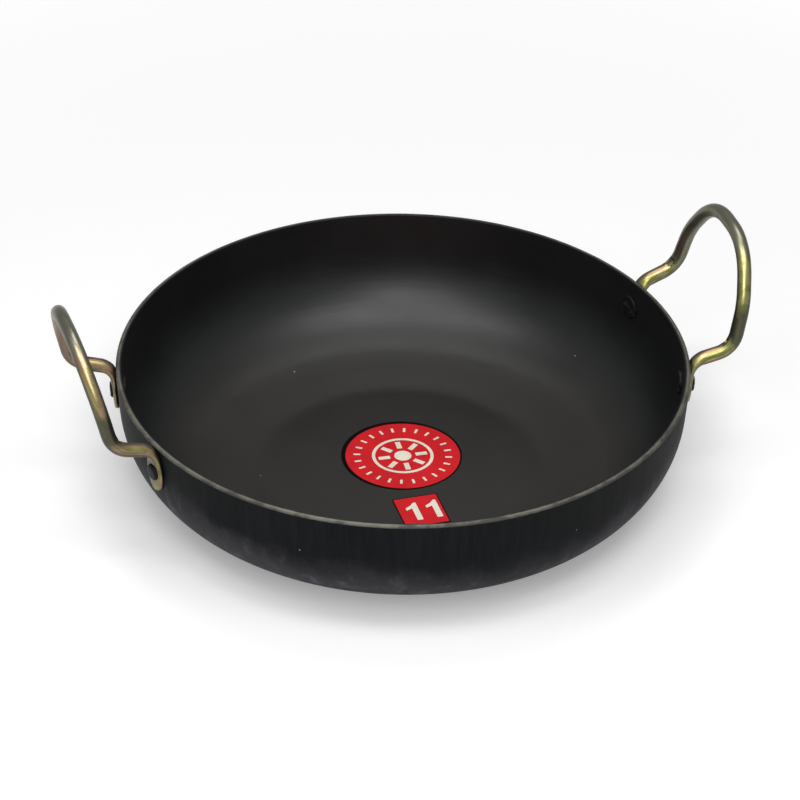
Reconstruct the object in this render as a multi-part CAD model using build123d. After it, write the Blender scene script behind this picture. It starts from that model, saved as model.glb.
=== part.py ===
from build123d import *
import os
from math import cos, pi, radians, sin, tan

# Kadai: a deep iron frying bowl with two riveted rod handles. Millimetres.
# The origin is the centre of the flat base, +Z is up, and the handles lie along X.

# Bowl, pressed from one sheet
rim_radius = 140.0
bowl_height = 66.0
wall_thickness = 2.8
wall_taper = 4.3
dish_slope = 8.0
base_radius = 70.0
base_bend_radius = 60.0
rim_edge_radius = 0.5

# Handle rod and the path of its centreline
rod_diameter = 7.0
rivet_angle = 15.3
leg_drop = 1.8
wall_bend_radius = 8.5
foot_reach = 16.3
foot_spacing = 79.7
foot_rise = 3.7
foot_bend_radius = 12.9
shoulder_spacing = 73.6
shoulder_height = 23.2
top_spacing = 40.4
loop_height = 47.9
loop_bend_radius = 30.9
loop_lean = 13.5

# Flattened rod ends
pad_width = 13.0
pad_height = 20.0
pad_thickness = 2.5
pad_drop = 15.0
pad_edge_radius = 0.8
neck_width = 8.4
neck_thickness = 5.2
neck_foot_width = 10.6

# Rivets
rivet_drop = 14.2
shank_diameter = 5.0
inner_head_diameter = 11.6
inner_head_thickness = 1.5
inner_head_edge_radius = 0.6
outer_head_diameter = 8.4
outer_head_thickness = 1.5
outer_head_edge_radius = 1.1

# Stickers on the floor of the bowl
sticker_thickness = 0.2
round_sticker_diameter = 57.0
round_backing_diameter = 60.0
backing_offset_x = -0.5
backing_offset_y = 0.6
round_sticker_x = 3.9
round_sticker_y = 9.9
size_sticker_width = 22.8
size_sticker_height = 25.0
size_sticker_x = -1.9
size_sticker_y = -37.9
size_sticker_turn = -1.5
size_sticker_corner = 0.5

# Clearances
seat_gap = 0.05
shank_clearance = 0.1
cut_overrun = 4.0

taper = radians(wall_taper)
slope = radians(dish_slope)


def corner(inset):
    """Radius and height where the wall's line meets the line of the dished ring"""
    rim_r = rim_radius - inset / cos(taper)
    floor_r = base_radius - inset * tan(slope / 2)
    span = rim_r - floor_r - (bowl_height - inset) * tan(taper)
    rise = span * tan(slope) / (1 - tan(taper) * tan(slope))
    return floor_r + rise / tan(slope), inset + rise


def corner_radius():
    """Bend between wall and dished ring that leaves the wall straight behind the rivet heads"""
    straight_wall = rivet_drop + inner_head_diameter / 2
    reach = (bowl_height - corner(0)[1]) / cos(taper) - straight_wall
    return reach / tan((pi / 2 - taper - slope) / 2)


def bowl_outline(inset):
    """Path from the centre of the floor to the rim, moved in from the outside by inset"""
    corner_r, corner_z = corner(inset)
    floor_r = base_radius - inset * tan(slope / 2)
    rim_r = rim_radius - inset / cos(taper)
    points = [(0, 0, inset), (floor_r, 0, inset), (corner_r, 0, corner_z), (rim_r, 0, bowl_height)]
    return FilletPolyline(*points, radius=[base_bend_radius - inset, corner_radius() - inset])


def bowl_shell():
    """Sheet between the outer and the inner outline, turned about Z"""
    outside = bowl_outline(0)
    inside = bowl_outline(wall_thickness)
    rim = Line(outside @ 1, inside @ 1)
    axis = Line(inside @ 0, outside @ 0)
    section = make_face([*outside.edges(), rim, *inside.edges(), axis])
    shell = revolve(section, Axis.Z)
    rim_edges = shell.edges().filter_by(GeomType.CIRCLE).sort_by(Axis.Z)[-2:]
    return fillet(rim_edges, rim_edge_radius)


def wall_plane(angle):
    """Plane on the outside of the wall at a rivet: x along the rim, y up the wall, z straight out"""
    turn = radians(angle)
    wall_r = rim_radius - rivet_drop * tan(taper)
    origin = (wall_r * cos(turn), wall_r * sin(turn), bowl_height - rivet_drop)
    outward = (cos(taper) * cos(turn), cos(taper) * sin(turn), -sin(taper))
    return Plane(origin=origin, x_dir=(-sin(turn), cos(turn), 0), z_dir=outward)


def rivet_hole(angle):
    """Cutter for the shank, through the wall and the pad"""
    hole_radius = shank_diameter / 2 + shank_clearance
    depth = wall_thickness + seat_gap + pad_thickness + cut_overrun
    middle = (seat_gap + pad_thickness - wall_thickness) / 2
    return wall_plane(angle) * Pos(0, 0, middle) * Cylinder(hole_radius, depth)


def bowl():
    shell = bowl_shell()
    for angle in rivet_angles():
        shell -= rivet_hole(angle)
    return shell


def rivet_angles():
    """Azimuths of the four rivets, counter-clockwise from the right handle's back one"""
    return [rivet_angle, 180 - rivet_angle, 180 + rivet_angle, -rivet_angle]


def rod_path():
    """Centreline of one handle from its front pad to its back pad, on the +X side"""
    pad_middle = seat_gap + pad_thickness / 2
    lean = radians(loop_lean)
    foot_x = rim_radius + foot_reach
    foot_z = bowl_height + foot_rise
    half = []
    wall = wall_plane(rivet_angle)
    half.append(wall.from_local_coords(Vector(0, rivet_drop - pad_drop, pad_middle)))
    half.append(wall.from_local_coords(Vector(0, rivet_drop - leg_drop, pad_middle)))
    half.append(Vector(foot_x, foot_spacing / 2, foot_z))
    for height, spacing in ((shoulder_height, shoulder_spacing), (loop_height, top_spacing)):
        half.append(Vector(foot_x + height * sin(lean), spacing / 2, foot_z + height * cos(lean)))
    other = [Vector(p.X, -p.Y, p.Z) for p in reversed(half)]
    bends = [wall_bend_radius, foot_bend_radius, loop_bend_radius, loop_bend_radius]
    return FilletPolyline(*half, *other, radius=[*bends, *reversed(bends)])


def oval(place, width, thickness):
    """Oval section on a plane, as a face"""
    return place * Ellipse(width / 2, thickness / 2)


def neck(bend, angle):
    """Hammered length in which the round rod turns into the flat pad"""
    along = wall_plane(angle).x_dir
    sizes = ((rod_diameter, rod_diameter), (neck_width, neck_thickness), (neck_foot_width, pad_thickness))
    steps = (1, 1 / 2, 0) if angle > 0 else (0, 1 / 2, 1)
    sections = []
    for step, (width, thickness) in zip(steps, sizes):
        here = bend @ step
        heading = bend % step
        across = along - heading * along.dot(heading)
        sections.append(oval(Plane(origin=here, x_dir=across, z_dir=heading), width, thickness))
    return loft(sections) - hammered_back(angle)


def hammered_back(angle):
    """Cutter behind the flat back that the neck shares with its pad"""
    place = wall_plane(angle) * Pos(0, 0, seat_gap)
    return place * Box(2 * pad_height, 2 * pad_height, cut_overrun, align=(Align.CENTER, Align.CENTER, Align.MAX))


def pad(angle):
    """Flat oval end with a bevelled outer edge, standing just off the wall"""
    outline = Pos(0, rivet_drop - pad_drop, seat_gap) * Ellipse(pad_width / 2, pad_height / 2)
    plate = extrude(outline, pad_thickness)
    outer_edges = plate.edges().sort_by(Axis.Z)[-1:]
    return wall_plane(angle) * fillet(outer_edges, pad_edge_radius)


def handle():
    """One handle on the +X side: a bent rod with two flattened, drilled ends"""
    path = rod_path().edges()
    rod_wire = Wire(path[2:-2])
    section = Plane(origin=rod_wire @ 0, z_dir=rod_wire % 0) * Circle(rod_diameter / 2)
    body = sweep(section, rod_wire)
    body += neck(path[1], rivet_angle)
    body += neck(path[-2], -rivet_angle)
    for angle in (rivet_angle, -rivet_angle):
        body += pad(angle)
    for angle in (rivet_angle, -rivet_angle):
        body -= rivet_hole(angle)
    return body


def disc_from(bottom, radius, height):
    """Upright cylinder whose lower face lies at bottom"""
    return Pos(0, 0, bottom) * Cylinder(radius, height, align=(Align.CENTER, Align.CENTER, Align.MIN))


def rivet(angle):
    """Wide flat head inside the bowl, a shank, and a low dome hammered over the pad"""
    head_r = inner_head_diameter / 2
    wall_bow = head_r**2 / (2 * (rim_radius - wall_thickness))
    seat = -wall_thickness - wall_bow - seat_gap
    dome_seat = 2 * seat_gap + pad_thickness
    shank = disc_from(seat, shank_diameter / 2, dome_seat - seat)
    head = disc_from(seat - inner_head_thickness, head_r, inner_head_thickness)
    head = fillet(head.edges().sort_by(Axis.Z)[:1], inner_head_edge_radius)
    dome = disc_from(dome_seat, outer_head_diameter / 2, outer_head_thickness)
    dome = fillet(dome.edges().sort_by(Axis.Z)[-1:], outer_head_edge_radius)
    return wall_plane(angle) * (shank + head + dome)


def round_sticker():
    """Round sticker whose dark backing shows past the printed disc on one side"""
    disc = Circle(round_sticker_diameter / 2)
    backing = Pos(backing_offset_x, backing_offset_y) * Circle(round_backing_diameter / 2)
    place = Pos(round_sticker_x, round_sticker_y, wall_thickness)
    return place * extrude(disc + backing, sticker_thickness)


def size_sticker():
    """Small oblong sticker that holds the pan's size"""
    outline = RectangleRounded(size_sticker_width, size_sticker_height, size_sticker_corner)
    place = Pos(size_sticker_x, size_sticker_y, wall_thickness) * Rot(0, 0, size_sticker_turn)
    return place * extrude(outline, sticker_thickness)


def parts():
    """Every piece of the kadai under the name of its node"""
    right = handle()
    rivet_names = ["right_back_rivet", "left_back_rivet", "left_front_rivet", "right_front_rivet"]
    pieces = {
        "bowl": bowl(),
        "right_handle": right,
        "left_handle": Rot(0, 0, 180) * right,
        "round_sticker": round_sticker(),
        "size_sticker": size_sticker(),
    }
    for name, angle in zip(rivet_names, rivet_angles()):
        pieces[name] = rivet(angle)
    return pieces


if __name__ == "__main__":
    os.makedirs("parts", exist_ok=True)
    for node, shape in parts().items():
        export_step(shape, f"parts/{node}.step")
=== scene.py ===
from math import asin, ceil, cos, pi, radians, sin, tan

import bmesh
import bpy
from bpy.props import FloatProperty, FloatVectorProperty, IntProperty, PointerProperty, StringProperty
from mathutils import Matrix, Vector


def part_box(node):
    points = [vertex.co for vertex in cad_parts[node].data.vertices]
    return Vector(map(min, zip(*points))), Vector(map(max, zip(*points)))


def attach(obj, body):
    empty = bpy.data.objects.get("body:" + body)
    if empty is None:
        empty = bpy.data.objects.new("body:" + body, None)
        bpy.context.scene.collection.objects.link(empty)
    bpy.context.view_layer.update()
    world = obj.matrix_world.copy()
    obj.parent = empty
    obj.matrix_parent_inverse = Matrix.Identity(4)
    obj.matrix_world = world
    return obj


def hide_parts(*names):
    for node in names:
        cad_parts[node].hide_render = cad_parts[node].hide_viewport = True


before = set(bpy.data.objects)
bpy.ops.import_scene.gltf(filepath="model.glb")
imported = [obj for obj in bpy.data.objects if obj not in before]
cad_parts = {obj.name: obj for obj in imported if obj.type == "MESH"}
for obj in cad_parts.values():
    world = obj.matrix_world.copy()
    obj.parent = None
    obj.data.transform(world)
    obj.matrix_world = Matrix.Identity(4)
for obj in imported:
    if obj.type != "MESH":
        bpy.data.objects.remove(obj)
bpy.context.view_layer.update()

bl_info = {
    "name": "Kadai",
    "version": (1, 0, 0),
    "blender": (4, 5, 0),
    "location": "3D View > Sidebar > Kadai",
    "description": "Black iron kadai with two riveted rod handles and two stickers on its floor",
    "category": "Add Mesh",
}

BOWL_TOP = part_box("bowl")[1].z
BODY = "root"


# Settings

def length(label, default, words):
    """A distance in metres that a user can change"""
    return FloatProperty(name=label, description=words, default=default, unit="LENGTH", precision=5)


def turn(label, degrees, words):
    """An angle that a user can change"""
    return FloatProperty(name=label, description=words, default=radians(degrees), subtype="ANGLE")


def share(label, default, words):
    """A plain factor that a user can change"""
    return FloatProperty(name=label, description=words, default=default, min=0.0)


def count(label, default, words):
    return IntProperty(name=label, description=words, default=default, min=1)


def tint(label, default, words):
    """A linear colour that a user can change"""
    return FloatVectorProperty(name=label, description=words, default=default, subtype="COLOR", min=0.0, max=1.0)


class KadaiBowl(bpy.types.PropertyGroup):
    rim_radius: length("Rim radius", 0.140, "Outside radius at the rim")
    height: length("Height", BOWL_TOP, "Height of the rim above the table")
    sheet: length("Sheet", 0.0028, "Thickness of the iron sheet")
    taper: turn("Taper", 4.3, "Lean of the wall from upright")
    base_radius: length("Base radius", 0.070, "Radius of the flat base")
    base_bend: length("Base bend", 0.060, "Bend between the base and the dished ring")
    dish: turn("Dish", 8.0, "Slope of the ring round the flat base")
    rim_fall: length("Rim fall", 0.0007, "Fall of the cut edge of the sheet towards the outside")
    rim_inner_edge: length("Rim inner edge", 0.0006, "Rounding of the cut edge's inner corner")
    rim_outer_edge: length("Rim outer edge", 0.0008, "Rounding of the cut edge's outer corner")
    segments: count("Segments", 256, "Steps round the bowl")


class KadaiHandle(bpy.types.PropertyGroup):
    rod: length("Rod", 0.007, "Diameter of the rod")
    rivet_angle: turn("Rivet angle", 15.3, "Place of each rivet round the rim, from the handle's middle")
    leg_drop: length("Leg drop", 0.0018, "Depth below the rim at which the leg would meet the wall")
    wall_bend: length("Wall bend", 0.0085, "Bend radius where the leg turns down the wall")
    foot_reach: length("Foot reach", 0.0163, "Distance of the foot bend outside the rim")
    foot_spacing: length("Foot spacing", 0.0797, "Distance between the two foot bends")
    foot_rise: length("Foot rise", 0.0037, "Height of the foot bends above the rim")
    foot_bend: length("Foot bend", 0.0129, "Bend radius at the feet")
    shoulder_spacing: length("Shoulder spacing", 0.0736, "Distance between the shoulders")
    shoulder_height: length("Shoulder height", 0.0232, "Height of the shoulders above the feet, along the loop")
    top_spacing: length("Top spacing", 0.0404, "Distance between the corners of the top")
    loop_height: length("Loop height", 0.0479, "Height of the top above the feet, along the loop")
    loop_bend: length("Loop bend", 0.0309, "Bend radius at the shoulders and the top")
    loop_lean: turn("Loop lean", 13.5, "Outward lean of the loop")
    pad_width: length("Pad width", 0.013, "Width of the hammered end")
    pad_height: length("Pad height", 0.020, "Height of the hammered end")
    pad_thickness: length("Pad thickness", 0.0025, "Thickness of the hammered end")
    pad_drop: length("Pad drop", 0.015, "Depth of the pad's middle below the rim")
    neck_width: length("Neck width", 0.0084, "Width half way from the rod to the pad")
    neck_thickness: length("Neck thickness", 0.0052, "Thickness half way from the rod to the pad")
    neck_foot_width: length("Neck foot width", 0.0106, "Width where the neck meets the pad")
    hammer_marks: length("Hammer marks", 0.00035, "Depth of the marks on the pads")
    pinch: length("Pinch", 0.0011, "Depth of the bending tool's marks inside the foot bends")
    sides: count("Sides", 32, "Sides of the rod")


class KadaiRivet(bpy.types.PropertyGroup):
    drop: length("Drop", 0.0142, "Depth of the rivets below the rim")
    shank: length("Shank", 0.005, "Diameter of the shank")
    hole_gap: length("Hole gap", 0.0001, "Clearance round the shank")
    seat_gap: length("Seat gap", 0.00005, "Clearance under the pads and heads")
    inner_head: length("Inner head", 0.0116, "Diameter of the wide head inside the bowl")
    inner_height: length("Inner height", 0.0015, "Thickness of the head inside the bowl")
    inner_edge: length("Inner edge", 0.0006, "Rounding of the inner head")
    outer_head: length("Outer head", 0.0084, "Diameter of the hammered head outside")
    outer_height: length("Outer height", 0.0015, "Height of the hammered head")
    outer_edge: length("Outer edge", 0.0011, "Rounding of the hammered head")
    crown: length("Crown", 0.00025, "Rise of each head's face towards its middle")
    segments: count("Segments", 64, "Steps round a rivet")


class KadaiStickers(bpy.types.PropertyGroup):
    thickness: length("Thickness", 0.0002, "Thickness of the film with its print")
    disc: length("Disc", 0.057, "Diameter of the printed disc")
    backing: length("Backing", 0.060, "Diameter of the dark backing")
    backing_x: length("Backing X", -0.0005, "Offset of the backing under the disc")
    backing_y: length("Backing Y", 0.0006, "Offset of the backing under the disc")
    disc_x: length("Disc X", 0.0039, "Place of the round sticker on the floor")
    disc_y: length("Disc Y", 0.0099, "Place of the round sticker on the floor")
    disc_turn: turn("Disc turn", -4.4, "Turn of the print on the round sticker")
    plate_width: length("Plate width", 0.0228, "Width of the size sticker")
    plate_height: length("Plate height", 0.025, "Height of the size sticker")
    plate_x: length("Plate X", -0.0019, "Place of the size sticker on the floor")
    plate_y: length("Plate Y", -0.0379, "Place of the size sticker on the floor")
    plate_turn: turn("Plate turn", -1.5, "Turn of the size sticker")
    border: length("Border", 0.0006, "Dark edge round the size sticker")
    number: StringProperty(name="Number", description="Size number, as digits", default="11")
    digit_height: length("Digit height", 0.0147, "Height of the size number")
    digit_pitch: length("Digit pitch", 0.0101, "Distance between the digits")


class KadaiFinish(bpy.types.PropertyGroup):
    coat: tint("Coat", (0.0052, 0.0060, 0.0067), "Black coating of the bowl")
    # Painted warm light: the floor takes this warmer colour in place of warmer light falling on it.
    coat_warm_lit_floor: tint("Floor coat", (0.0078, 0.0066, 0.0050), "Warmer coating on the floor of the bowl")
    # Scuffed paler coat low on the outside, also used as painted sheen towards the left and right sides.
    coat_worn_and_sheen: tint("Worn coat", (0.100, 0.098, 0.112), "Scuffed coating low on the outside")
    bare_steel: tint("Bare steel", (0.188, 0.184, 0.145), "Cut edge of the sheet")
    # Dull spots on the cut edge, also used for the painted shade towards the right and the back.
    dull_steel_and_shade: tint("Dull steel", (0.060, 0.058, 0.052), "Dull spots on the cut edge")
    zinc_yellow: tint("Zinc yellow", (0.43, 0.40, 0.165), "Main colour of the passivated handles")
    # Greyer zinc on top of the loops, also painted on the back limbs as lighter reflection.
    zinc_grey_and_lit: tint("Zinc grey", (0.38, 0.37, 0.29), "Greyer zinc on top of the loops")
    # Dark olive used for the painted shade on knees and edges, the painted dark bands, and near the pads.
    zinc_olive_and_shade: tint("Zinc olive", (0.072, 0.073, 0.052), "Dark bands on the handles")
    # Pink patches of the left handle, also painted as the highlight on the feet and the tint on the undersides.
    zinc_pink_and_painted_tint: tint("Zinc pink", (0.54, 0.31, 0.22), "Coppery tint on the handles' sides")
    zinc_green: tint("Zinc green", (0.27, 0.30, 0.075), "Greenish patches on the handles")
    rivet: tint("Rivet", (0.009, 0.009, 0.009), "Black rivets")
    film_red: tint("Film red", (0.62, 0.012, 0.018), "Red of the stickers")
    film_cream: tint("Film cream", (0.78, 0.76, 0.62), "Pale print on the stickers")
    film_black: tint("Film black", (0.003, 0.003, 0.0035), "Dark backing and edge of the stickers")


class KadaiStage(bpy.types.PropertyGroup):
    azimuth: turn("Azimuth", -18.3, "Camera's direction round the kadai")
    elevation: turn("Elevation", 33.069, "Camera's height above the horizon")
    distance: length("Distance", 2.2, "Camera's distance from the middle of the rim")
    aim_right: length("Aim right", -0.001284, "Aim point beside the middle of the rim")
    aim_up: length("Aim up", -0.019037, "Aim point above the middle of the rim")
    roll: turn("Roll", 1.0267, "Camera's roll")
    lens: share("Lens", 203.3, "Focal length in millimetres on a 36 mm sensor")
    floor_size: length("Floor size", 12.0, "Side of the floor")
    floor_colour: tint("Floor colour", (0.80, 0.80, 0.80), "Pale floor")
    floor_glow: share("Floor glow", 0.30, "Light added to the floor near the kadai where it is only looked at")
    far_glow: share("Far glow", 0.90, "Light added to the far floor where it is only looked at")
    lamp_distance: length("Lamp distance", 1.7, "Distance of every lamp")
    lamp_size: length("Lamp size", 0.75, "Side of every lamp")
    lamp_azimuth: turn("Lamp azimuth", -20.0, "Direction of the low front lamp round the kadai")
    lamp_spread: turn("Lamp spread", 45.0, "Turn from the front lamp to the lamp on either side")
    high_lamps: turn("High lamps", 68.0, "Height of the side lamps and the back lamp above the horizon")
    low_lamp: turn("Low lamp", 45.0, "Height of the front lamp above the horizon")
    left_power: share("Left power", 7.8, "Power of the left lamp in watts")
    right_power: share("Right power", 8.2, "Power of the right lamp in watts")
    front_power: share("Front power", 9.0, "Power of the front lamp in watts")
    back_power: share("Back power", 4.9, "Power of the back lamp in watts")
    world_light: share("World light", 0.10, "Strength of the light from all round")
    mirrored_share: share("Mirrored share", 0.36, "Share of the looked-at white that reflections show")


# Paths and sections

def rounded(points, radii, step):
    """Places and headings along a path whose inner corners are rounded by arcs"""
    path = [(points[0], (points[1] - points[0]).normalized())]
    for before, here, after, radius in zip(points, points[1:], points[2:], radii):
        back = (before - here).normalized()
        ahead = (after - here).normalized()
        bend = pi - back.angle(ahead)
        cut = radius * tan(bend / 2)
        centre = here + (back + ahead).normalized() * radius / cos(bend / 2)
        start = (here + back * cut - centre).normalized()
        end = (here + ahead * cut - centre).normalized()
        steps = max(2, ceil(bend / step))
        for i in range(steps + 1):
            spot = centre + start.slerp(end, i / steps) * radius
            path.append((spot, (-back).slerp(ahead, i / steps)))
    path.append((points[-1], (points[-1] - points[-2]).normalized()))
    return path


def divided(path, longest):
    """The same path with its long straight runs cut into steps"""
    fine = [path[0]]
    for spot, heading in path[1:]:
        start, start_heading = fine[-1]
        steps = max(1, ceil((spot - start).length / longest))
        for i in range(1, steps):
            fine.append((start.lerp(spot, i / steps), start_heading.lerp(heading, i / steps).normalized()))
        fine.append((spot, heading))
    return fine


def corner(bowl, inset):
    """Radius and height where the wall's line meets the line of the dished ring"""
    rim_r = bowl.rim_radius - inset / cos(bowl.taper)
    floor_r = bowl.base_radius - inset * tan(bowl.dish / 2)
    span = rim_r - floor_r - (bowl.height - inset) * tan(bowl.taper)
    rise = span * tan(bowl.dish) / (1 - tan(bowl.taper) * tan(bowl.dish))
    return floor_r + rise / tan(bowl.dish), inset + rise


def corner_radius(bowl, rivet):
    """Bend that leaves the wall straight behind the rivet heads"""
    straight_wall = rivet.drop + rivet.inner_head / 2
    reach = (bowl.height - corner(bowl, 0)[1]) / cos(bowl.taper) - straight_wall
    return reach / tan((pi / 2 - bowl.taper - bowl.dish) / 2)


def bowl_outline(bowl, rivet):
    """Section of the sheet, from the middle of the floor over the rim to the middle of the base"""
    points = []
    for inset, fall in ((bowl.sheet, 0), (0, bowl.rim_fall)):
        corner_r, corner_z = corner(bowl, inset)
        side = [(0, inset), (bowl.base_radius - inset * tan(bowl.dish / 2), inset), (corner_r, corner_z)]
        side.append((bowl.rim_radius - inset / cos(bowl.taper) - fall * tan(bowl.taper), bowl.height - fall))
        points += side if inset else reversed(side)
    bend = corner_radius(bowl, rivet)
    edges = [bowl.rim_inner_edge, bowl.rim_outer_edge]
    radii = [bowl.base_bend - bowl.sheet, bend - bowl.sheet, *edges, bend, bowl.base_bend]
    path = rounded([Vector((r, 0, z)) for r, z in points], radii, radians(3))
    return [spot for spot, heading in divided(path, bowl.sheet * 1.5)]


def wall_frame(bowl, rivet, angle):
    """Matrix on the outside of the wall at a rivet: x along the rim, y up the wall, z straight out"""
    wall_r = bowl.rim_radius - rivet.drop * tan(bowl.taper)
    origin = Vector((wall_r * cos(angle), wall_r * sin(angle), bowl.height - rivet.drop))
    outward = Vector((cos(bowl.taper) * cos(angle), cos(bowl.taper) * sin(angle), -sin(bowl.taper)))
    along = Vector((-sin(angle), cos(angle), 0))
    axes = Matrix((along, outward.cross(along), outward)).transposed()
    return Matrix.Translation(origin) @ axes.to_4x4()


def rivet_angles(handle):
    """Name and direction of the four rivets"""
    a = handle.rivet_angle
    return {
        "right_back_rivet": a,
        "left_back_rivet": pi - a,
        "left_front_rivet": pi + a,
        "right_front_rivet": -a,
    }


# Modelling

def start_clean():
    if bpy.context.mode != "OBJECT":
        bpy.ops.object.mode_set(mode="OBJECT")
    bpy.ops.object.select_all(action="DESELECT")


def named(name):
    """The active object under its name, at the origin, unturned and unscaled"""
    piece = bpy.context.active_object
    bpy.ops.object.transform_apply(location=True, rotation=True, scale=True)
    piece.name = name
    piece.data.name = name
    return piece


def only(piece):
    """Selects one object and makes it active"""
    bpy.ops.object.select_all(action="DESELECT")
    piece.select_set(True)
    bpy.context.view_layer.objects.active = piece


def edit(piece):
    only(piece)
    bpy.ops.object.mode_set(mode="EDIT")
    bpy.ops.mesh.select_all(action="DESELECT")
    return bmesh.from_edit_mesh(piece.data)


def done():
    bpy.ops.object.mode_set(mode="OBJECT")


def pick(mesh, wanted):
    """Selects the vertices for which wanted is true, with the edges and faces between them"""
    for vertex in mesh.verts:
        vertex.select_set(False)
    mesh.select_mode = {"VERT"}
    for vertex in mesh.verts:
        if wanted(vertex):
            vertex.select_set(True)
    mesh.select_flush_mode()


def thread(name, points):
    """A chain of edges through the points, drawn by extruding one vertex"""
    start_clean()
    bpy.ops.mesh.primitive_plane_add(size=0.001, location=points[0])
    piece = named(name)
    bpy.ops.object.mode_set(mode="EDIT")
    bpy.ops.mesh.select_all(action="SELECT")
    bpy.ops.mesh.merge(type="CENTER")
    for here, after in zip(points, points[1:]):
        bpy.ops.mesh.extrude_vertices_move(TRANSFORM_OT_translate={"value": after - here})
    return piece


def turned(name, outline, segments):
    """A closed shape turned about Z from an outline of (radius, 0, height) points"""
    piece = thread(name, outline)
    bpy.ops.mesh.select_all(action="SELECT")
    bpy.ops.mesh.spin(steps=segments, angle=2 * pi, center=(0, 0, 0), axis=(0, 0, 1))
    bpy.ops.mesh.select_all(action="SELECT")
    bpy.ops.mesh.remove_doubles(threshold=1e-6)
    bpy.ops.mesh.normals_make_consistent(inside=False)
    done()
    return piece


def plate(name, outline, bottom, height):
    """A flat plate between two heights with the outline given as (x, y) points"""
    piece = thread(name, [Vector((x, y, bottom)) for x, y in outline])
    bpy.ops.mesh.select_all(action="SELECT")
    bpy.ops.mesh.edge_face_add()
    bpy.ops.mesh.extrude_region_move(TRANSFORM_OT_translate={"value": (0, 0, height)})
    bpy.ops.mesh.select_all(action="SELECT")
    bpy.ops.mesh.normals_make_consistent(inside=False)
    done()
    return piece


def disc(name, radius, bottom, height, segments=96):
    """A thin disc on Z"""
    start_clean()
    middle = (0, 0, bottom + height / 2)
    bpy.ops.mesh.primitive_cylinder_add(vertices=segments, radius=radius, depth=height, location=middle)
    return named(name)


def loft(name, sections, sides):
    """A tube through oval sections, each drawn as a circle and bridged to its neighbours"""
    start_clean()
    rings = []
    for matrix, width, thickness in sections:
        bpy.ops.mesh.primitive_circle_add(
            vertices=sides, radius=0.5, location=matrix.translation, rotation=matrix.to_euler(),
        )
        bpy.context.active_object.scale = (width, thickness, 1)
        rings.append(named("ring"))
    piece = joined(rings, name)
    edit(piece)
    bpy.ops.mesh.select_all(action="SELECT")
    bpy.ops.mesh.bridge_edge_loops()
    return piece


def modify(piece, kind, **settings):
    """Adds a modifier with its settings and applies it"""
    only(piece)
    bpy.ops.object.modifier_add(type=kind)
    modifier = piece.modifiers[-1]
    for key, value in settings.items():
        setattr(modifier, key, value)
    bpy.ops.object.modifier_apply(modifier=modifier.name)


def drill(piece, matrices, radius, reach):
    """Cuts round holes along the Z of each matrix, as far as reach on both sides"""
    start_clean()
    cutters = []
    for matrix in matrices:
        bpy.ops.mesh.primitive_cylinder_add(
            vertices=48, radius=radius, depth=2 * reach, location=matrix.translation, rotation=matrix.to_euler(),
        )
        cutters.append(named("cutter"))
    cutter = joined(cutters, "cutters")
    modify(piece, "BOOLEAN", object=cutter, operation="DIFFERENCE", solver="EXACT")
    bpy.data.objects.remove(cutter)


def place(piece, matrix):
    """Moves a piece to its place and keeps its object at the origin"""
    only(piece)
    piece.matrix_world = matrix
    bpy.ops.object.transform_apply(location=True, rotation=True, scale=True)


def copied(piece, name, matrix):
    """A copy with its own mesh, under another name and in another place"""
    only(piece)
    bpy.ops.object.duplicate(linked=False)
    twin = bpy.context.active_object
    place(twin, matrix)
    return named(name)


def joined(pieces, name):
    """One object of several, with the materials of all"""
    only(pieces[0])
    for piece in pieces[1:]:
        piece.select_set(True)
    bpy.ops.object.join()
    return named(name)


def smooth(piece, degrees):
    only(piece)
    bpy.ops.object.shade_smooth_by_angle(angle=radians(degrees), keep_sharp_edges=False)


def hand_over(piece, slot, *nodes):
    """Says what a finished piece rides on and stands for, and hides the parts it stands for; slot is not used"""
    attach(piece, BODY)
    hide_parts(*nodes)


# Materials

def add(tree, kind, links=None, **settings):
    """A node with its settings, whose sockets are fed by values or by other nodes' outputs"""
    node = tree.nodes.new(kind)
    for key, value in settings.items():
        setattr(node, key, value)
    for socket, value in (links or {}).items():
        if isinstance(value, bpy.types.NodeSocket):
            tree.links.new(value, node.inputs[socket])
        else:
            node.inputs[socket].default_value = value
    return node


def calc(tree, operation, *values, clamp=False):
    """A Math node's result"""
    return add(tree, "ShaderNodeMath", dict(enumerate(values)), operation=operation, use_clamp=clamp).outputs[0]


def ramp(tree, value, low, high, start=0.0, end=1.0):
    """Smooth change from start to end while the value goes from low to high"""
    links = {"Value": value, "From Min": low, "From Max": high, "To Min": start, "To Max": end}
    return add(tree, "ShaderNodeMapRange", links, interpolation_type="SMOOTHSTEP").outputs["Result"]


def noise(tree, vector, scale, detail=2.0, rough=0.5, distortion=0.0):
    links = {"Vector": vector, "Scale": scale, "Detail": detail, "Roughness": rough, "Distortion": distortion}
    return add(tree, "ShaderNodeTexNoise", links).outputs["Fac"]


def mixed(tree, mask, first, second, blend="MIX"):
    """Colour that goes from first to second with the mask"""
    node = add(tree, "ShaderNodeMix", data_type="RGBA", blend_type=blend)
    for socket, value in ((0, mask), (6, first), (7, second)):
        if isinstance(value, bpy.types.NodeSocket):
            tree.links.new(value, node.inputs[socket])
        elif socket:
            node.inputs[socket].default_value = (*value, 1)
        else:
            node.inputs[socket].default_value = value
    return node.outputs[2]


def stretched(tree, vector, scale):
    """The same coordinates stretched for a streaky pattern"""
    return add(tree, "ShaderNodeMapping", {"Vector": vector, "Scale": scale}).outputs["Vector"]


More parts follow.
